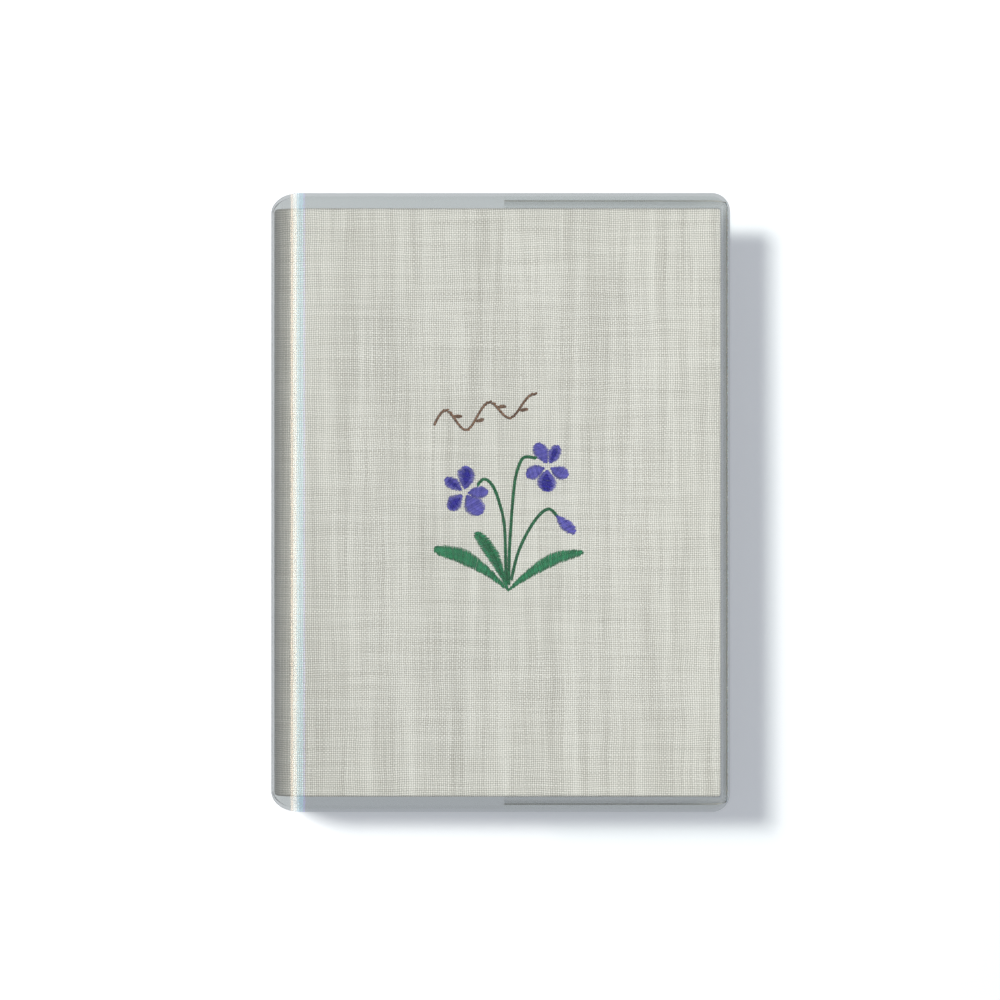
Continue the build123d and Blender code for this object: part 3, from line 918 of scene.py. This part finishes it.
def makeFeltMaterial():
    material, tree, shader = newMaterial(
        "felt", Roughness=0.97, Sheen_Weight=0.45, Sheen_Roughness=0.7, Specular_IOR_Level=0.1
    )
    flecks = useGroup(tree, fleckGroup, {
        "Position": objectPosition(tree), "Fibre Scale": 1100.0, "Cloud Scale": 90.0,
    })
    halfFibre = calc(tree, "MULTIPLY", flecks.outputs["Fibre"], 0.5)
    blend = calc(tree, "MULTIPLY_ADD", flecks.outputs["Cloud"], 0.5, halfFibre)
    spread = addNode(tree, "MapRange", {0: blend, 1: 0.3, 2: 0.7}).outputs[0]
    tree.links.new(mixColours(tree, spread, feltSet["dark"], feltSet["light"]), shader.inputs["Base Color"])
    bumpInto(tree, shader, flecks.outputs["Fibre"], 0.16 * mm, 0.8)
    return material


def makeFeltLeaf(index):
    # Half of a folded sheet: from the middle of its fold to the pinked fore edge
    low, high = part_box(leaves[index])
    side = 1 if index < 3 else -1
    folio = index if index < 3 else 5 - index
    pivot = jointNamed[f"{leaves[index]}_turn"]["pos_m"]
    foldLow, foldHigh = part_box(f"felt_fold_{folio + 1}")
    outer = foldHigh.z - midZ
    middle = abs(pivot[2] - midZ)
    foldX = foldLow.x + outer  # axis of the fold's round part
    thickness = 2 * (outer - middle)
    quarter = middle * math.pi / 2
    total = quarter + high.x - foldX
    leg = quarter + pivot[0] - foldX  # where the leaf turns
    toothCount = round((high.x - pivot[0]) / feltSet["tooth"])
    step = (high.x - pivot[0] - 2 * mm) / toothCount / 2
    bend = 1.4 * thickness
    along = between([0, quarter], 0.5 * mm) + between([quarter, leg - bend / 2], 0.5 * mm)[1:]
    along += between([leg - bend / 2, leg + bend / 2], 0.18 * mm)[1:]
    flatStart = along[-1]
    steps = 2 * round((total - flatStart) / (2 * step))
    along += [flatStart + (total - flatStart) * (n + 1) / steps for n in range(steps)]
    rows = 2 * round(2 * high.y / feltSet["tooth"])
    across = [-high.y + 2 * high.y * n / rows for n in range(rows + 1)]
    firstTooth = len(along) - steps

    def place(s, y):
        if s < quarter:
            angle = s / middle
            x, out = foldX - middle * math.cos(angle), middle * math.sin(angle)
        else:
            x, out = foldX + s - quarter, middle
            number = min(range(len(along)), key=lambda n: abs(along[n] - s)) - firstTooth
            row = round((y + high.y) / (2 * high.y) * rows)
            isEnd, isFore = row in (0, rows), s > total - 1e-7
            if isEnd and number >= 0 and (number % 2 == 0 or isFore):
                y -= math.copysign(feltSet["toothDepth"], y)
            if isFore and (row % 2 or isEnd):
                x -= feltSet["toothDepth"]
        ripple = noise.noise(Vector((x * 60, y * 60, index * 3.1))) * feltSet["nap"]
        return x, y, midZ + side * (out + ripple)

    piece = shapedGrid(f"felt_leaf_{index + 1}", along, across, place, feltMaterial)
    thicken(piece, thickness - 0.1 * mm, inward=False)
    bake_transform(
        piece, "gathering", leafBodies[index],
        start=(pivot[0] - bend / 2, 0, pivot[2]), end=(pivot[0] + bend / 2, 0, pivot[2]),
    )
    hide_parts(leaves[index], f"felt_fold_{folio + 1}")
    return piece


feltMaterial = makeFeltMaterial()
for index in range(6):
    makeFeltLeaf(index)
print("felt leaves made")

# ---------- tape and binding thread

tapeSet = {
    "thickness": 0.3 * mm,
    "threadsPerMetre": 1300,
    "light": rgb(226, 220, 206),
    "dark": rgb(176, 168, 150),
}
cordSet = {"plies": 2, "turnsPerMetre": 900, "light": rgb(228, 219, 196), "dark": rgb(180, 168, 140)}


def makeTapeMaterial():
    material, tree, shader = newMaterial(
        "cotton_tape", Roughness=0.9, Sheen_Weight=0.2, Specular_IOR_Level=0.2
    )
    weave = useGroup(tree, weaveGroup, {
        "Cloth Position": clothPosition(tree), "Threads per Metre": tapeSet["threadsPerMetre"], "Slub": 0.3,
    })
    # Colour between dark and light by the weave: painted shade in the gaps between threads, and the slubs' own
    # tone
    colour = mixColours(tree, weave.outputs["Shade"], tapeSet["dark"], tapeSet["light"])
    tree.links.new(colour, shader.inputs["Base Color"])
    bumpInto(tree, shader, weave.outputs["Height"], 0.08 * mm)
    return material


def makeTape():
    low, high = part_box("spine_tape")
    radius = spineX - low.x - tapeSet["thickness"] / 2
    halfAngle = math.asin(min((high.z - midZ) / (spineX - low.x), 1)) * 0.99
    along = between([-halfAngle * radius, halfAngle * radius], 0.4 * mm)
    across = between([-high.y, high.y], 2 * mm)

    def place(s, y):
        angle = s / radius
        return spineX - radius * math.cos(angle), y, midZ + radius * math.sin(angle)

    piece = shapedGrid("cotton_tape", along, across, place, makeTapeMaterial())
    thicken(piece, tapeSet["thickness"], inward=False)
    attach(piece, "gathering")
    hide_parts("spine_tape")


def makeCordMaterial():
    material, tree, shader = newMaterial(
        "linen_thread", Roughness=0.7, Sheen_Weight=0.2, Specular_IOR_Level=0.3
    )
    fuzz = noiseValue(tree, objectPosition(tree), 2600.0, 3.0)
    tree.links.new(mixColours(tree, fuzz, cordSet["dark"], cordSet["light"]), shader.inputs["Base Color"])
    bumpInto(tree, shader, fuzz, 0.03 * mm, 0.6)
    return material


def makeBindingCord():
    # Two plies twisted together, along the gutter and through the folds at each hole
    low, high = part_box("binding_thread")
    radius = (high.z - low.z) / 2
    gutter = high.x - radius
    holes = [high.y * (n / 2 - 1) * (1 - radius / high.y) for n in range(5)]
    bm = bmesh.new()
    runs = [((gutter, -high.y + radius, midZ), (gutter, high.y - radius, midZ))]
    runs += [((low.x, y, midZ), (gutter, y, midZ)) for y in holes]
    for start, end in runs:
        start, end = Vector(start), Vector(end)
        length = (end - start).length
        turn = (end - start).to_track_quat("Z", "Y").to_matrix().to_4x4()
        for ply in range(cordSet["plies"]):
            vertCount = len(bm.verts)
            bmesh.ops.create_cone(
                bm, cap_ends=True, cap_tris=False, segments=8, radius1=radius * 0.56, radius2=radius * 0.56,
                depth=length, matrix=Matrix.Translation((0, 0, length / 2)),
            )
            bm.edges.ensure_lookup_table()
            longEdges = [
                edge for edge in bm.edges
                if edge.verts[0].index == -1 and abs(edge.verts[0].co.z - edge.verts[1].co.z) > length * 0.9
            ]
            cuts = max(2, int(length / (0.35 * mm)))
            bmesh.ops.subdivide_edges(bm, edges=longEdges, cuts=cuts, use_grid_fill=False)
            for vert in bm.verts[vertCount:]:
                angle = vert.co.z * cordSet["turnsPerMetre"] * 2 * math.pi + ply * 2 * math.pi / cordSet["plies"]
                vert.co += Vector((math.cos(angle), math.sin(angle), 0)) * radius * 0.44
                vert.co = turn @ vert.co + start
            bm.verts.index_update()
    piece = addObject("binding_cord", bm, makeCordMaterial())
    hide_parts("binding_thread")
    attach(piece, "gathering")
    return piece


makeBindingCord()
makeTape()
print("tape and binding cord made")

# ---------- finishes of the CAD pieces that stay

steelSet = {"colour": (0.78, 0.79, 0.8, 1.0), "roughness": 0.2}
liningSet = {"light": rgb(238, 234, 224), "dark": rgb(220, 214, 200)}
boardSet = {"light": rgb(176, 165, 146), "dark": rgb(138, 126, 108), "fleck": rgb(96, 84, 70)}


def makeSteelMaterial():
    material, tree, shader = newMaterial("needle_steel", Base_Color=steelSet["colour"], Metallic=1.0)
    position = addNode(
        tree, "Mapping", {"Vector": objectPosition(tree), "Scale": (9000, 90, 9000)}
    ).outputs[0]
    brushed = noiseValue(tree, position, 1.0, 3.0)
    rough = calc(tree, "MULTIPLY_ADD", brushed, 0.14, steelSet["roughness"] - 0.07)
    tree.links.new(rough, shader.inputs["Roughness"])
    bumpInto(tree, shader, brushed, 0.004 * mm, 0.4)
    return material


def makePaperMaterial():
    material, tree, shader = newMaterial("lining_paper", Roughness=0.85, Specular_IOR_Level=0.3)
    flecks = useGroup(tree, fleckGroup, {
        "Position": objectPosition(tree), "Fibre Scale": 700.0, "Cloud Scale": 40.0,
    })
    colour = mixColours(tree, flecks.outputs["Fibre"], liningSet["dark"], liningSet["light"])
    tree.links.new(colour, shader.inputs["Base Color"])
    bumpInto(tree, shader, flecks.outputs["Fibre"], 0.02 * mm, 0.5)
    return material


def makeBoardMaterial():
    material, tree, shader = newMaterial("grey_board", Roughness=0.9, Specular_IOR_Level=0.25)
    flecks = useGroup(tree, fleckGroup, {
        "Position": objectPosition(tree), "Fibre Scale": 800.0, "Cloud Scale": 120.0,
    })
    colour = mixColours(tree, flecks.outputs["Fibre"], boardSet["dark"], boardSet["light"])
    colour = mixColours(
        tree, calc(tree, "MULTIPLY", flecks.outputs["Fleck"], 0.6), colour, boardSet["fleck"]
    )
    tree.links.new(colour, shader.inputs["Base Color"])
    bumpInto(tree, shader, flecks.outputs["Fibre"], 0.04 * mm, 0.6)
    return material


finishOf = {
    "needle_steel": (makeSteelMaterial(), ["sharps_needles", "darning_needles"]),
    "lining": (makePaperMaterial(), ["front_lining", "back_lining"]),
    "board": (makeBoardMaterial(), ["front_board", "back_board", "front_spine_card", "back_spine_card"]),
}
for slot, (material, nodes) in finishOf.items():
    for node in nodes:
        frame["nodes"][node].data.materials.clear()
        frame["nodes"][node].data.materials.append(material)
print("needles, linings and boards finished")

# ---------- floor and lights

studioSet = {
    "floor": (0.97, 0.975, 0.98, 1.0),
    # darker floor for every ray but the camera's: painted shade in what the clear sheets show and in the light
    # thrown back onto the case
    "floorBehind": (0.26, 0.27, 0.265, 1.0),  # what the clear sheets and the case see of the floor
    # the floor's glow stands in for fill light: painted light that lifts and tints the floor's cast shadow
    "floorGlow": (0.345, 0.365, 0.4, 1.0),
    "sky": (0.9, 0.95, 1.0, 1.0),
    "skyStrength": 0.15,
    "skyThrough": 0.6,  # added where the clear sheets show the surroundings
    # place over the case, width, length, radiance, colour, and what it lights
    "panels": {
        "topPanel": ((0.3, 0.1, 1.1), (0.9, 0.9), 7.4, (0.955, 0.99, 1.0), "case"),
        "shadowPanel": ((-0.78, 0.45, 1.1), (0.3, 0.3), 62.0, (1, 0.985, 0.965), "floor"),
    },
    # the strips that the round spine mirrors: degrees from overhead, radiance, colour
    "strips": {
        "violetStrip": (9, 15, 2.2, (0.25, 0.15, 1.0)),
        "blueStrip": (15, 28, 2.7, (0.12, 0.7, 1.0)),
        "paleStrip": (28, 36, 4.4, (0.6, 0.88, 1.0)),
        "whiteStrip": (36, 47, 5.8, (1.0, 1.0, 0.92)),
        "warmStrip": (47, 56, 4.8, (1.0, 0.78, 0.55)),
    },
    "stripDistance": 0.9,
    "stripLength": 0.5,
}


def addPanel(name, place, target, width, length, radiance, colour):
    light = bpy.data.lights.new(name, "AREA")
    light.shape = "RECTANGLE"
    light.size, light.size_y = width, length
    light.energy = radiance * math.pi * width * length
    light.color = colour
    lamp = bpy.data.objects.new(name, light)
    lamp.location = place
    lamp.rotation_euler = (Vector(target) - Vector(place)).to_track_quat("-Z", "Y").to_euler()
    bpy.context.scene.collection.objects.link(lamp)
    return lamp


def shineInMirrorsOnly(light):
    # The strips show in the round spine, and light nothing
    light.use_nodes = True
    tree = light.node_tree
    depth = addNode(tree, "LightPath").outputs["Diffuse Depth"]
    tree.links.new(
        calc(tree, "SUBTRACT", 1.0, depth, clamp=True), tree.nodes["Emission"].inputs["Strength"]
    )


def makeStudio():
    bm = bmesh.new()
    bmesh.ops.create_grid(bm, x_segments=1, y_segments=1, size=4)
    material, tree, shader = newMaterial("studio_floor", Roughness=0.9, Specular_IOR_Level=0.0)
    path = addNode(tree, "LightPath")
    # White to the camera, dark to everything else: painted shade
    seen = mixColours(tree, path.outputs["Is Camera Ray"], studioSet["floorBehind"], studioSet["floor"])
    tree.links.new(seen, shader.inputs["Base Color"])
    # The floor glows for the camera and in the clear sheets: painted fill light, not a lamp
    shader.inputs["Emission Color"].default_value = studioSet["floorGlow"]
    direct = calc(tree, "SUBTRACT", 1.0, path.outputs["Diffuse Depth"], clamp=True)
    tree.links.new(direct, shader.inputs["Emission Strength"])
    material.cycles.emission_sampling = "NONE"
    floor = addObject("floor", bm, material, smooth=False)
    world = bpy.data.worlds.new("studio")
    world.use_nodes = True
    background = world.node_tree.nodes["Background"]
    background.inputs[0].default_value = studioSet["sky"]
    path = addNode(world.node_tree, "LightPath")
    direct = calc(world.node_tree, "SUBTRACT", 1.0, path.outputs["Diffuse Depth"], clamp=True)
    through = calc(world.node_tree, "MULTIPLY", direct, path.outputs["Is Transmission Ray"])
    strength = calc(
        world.node_tree, "MULTIPLY_ADD", through, studioSet["skyThrough"], studioSet["skyStrength"]
    )
    world.node_tree.links.new(strength, background.inputs[1])
    bpy.context.scene.world = world
    links = {}
    for lit, state in (("floor", "INCLUDE"), ("case", "EXCLUDE")):
        links[lit] = bpy.data.collections.new(f"lit_{lit}")
        links[lit].objects.link(floor)
        links[lit].collection_objects[0].light_linking.link_state = state
    for name, (place, size, radiance, colour, lit) in studioSet["panels"].items():
        lamp = addPanel(name, place, (0, 0, midZ), *size, radiance, colour)
        lamp.light_linking.receiver_collection = links[lit]
        lamp.visible_glossy = False
        lamp.visible_transmission = False
    for name, (low, high, radiance, colour) in studioSet["strips"].items():
        distance = studioSet["stripDistance"]
        width = distance * math.radians(high - low)
        turn = math.radians((low + high) / 2)
        place = (spineX - math.sin(turn) * distance, 0, midZ + math.cos(turn) * distance)
        lamp = addPanel(name, place, (spineX, 0, midZ), studioSet["stripLength"], width, radiance, colour)
        lamp.visible_diffuse = False
        shineInMirrorsOnly(lamp.data)
    bpy.context.scene.view_settings.view_transform = "Standard"


makeStudio()
print("studio set")
